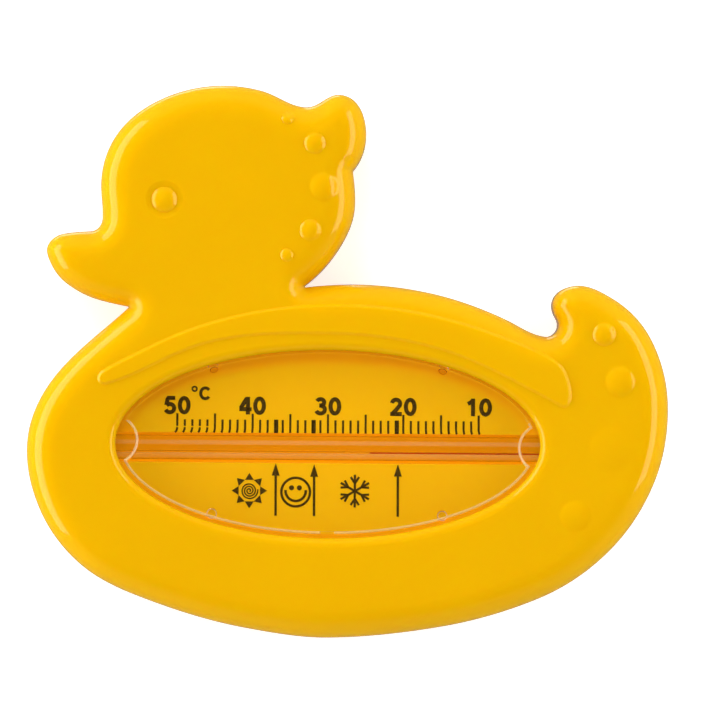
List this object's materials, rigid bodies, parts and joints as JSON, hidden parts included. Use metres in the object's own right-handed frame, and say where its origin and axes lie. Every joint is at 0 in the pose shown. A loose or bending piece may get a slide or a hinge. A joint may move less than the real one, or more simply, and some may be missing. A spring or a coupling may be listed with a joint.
{
  "type": "baby bath thermometer",
  "caption": "Flat floating bath thermometer shaped as a duck, with a spirit tube and a scale behind an oval window.",
  "frame": {"origin": "middle of the object's box in X and Y, on its flat back", "axes": "+X towards the tail, +Y towards the top of the head, +Z out of the window"},
  "size_m": [0.105, 0.0903, 0.02],
  "materials": {
    "front_shell": "glossy moulded yellow",
    "back_shell": "glossy moulded yellow",
    "window_lens": "clear polished plastic",
    "scale_plate": "satin yellow with printed scale",
    "glass_tube": "clear glass",
    "fluid_column": "red spirit"
  },
  "bodies": {
    "root": {"front_shell": "front_shell", "back_shell": "back_shell", "window_lens": "window_lens", "scale_plate": "scale_plate", "glass_tube": "glass_tube", "fluid_column": "fluid_column"}
  },
  "joints": []
}
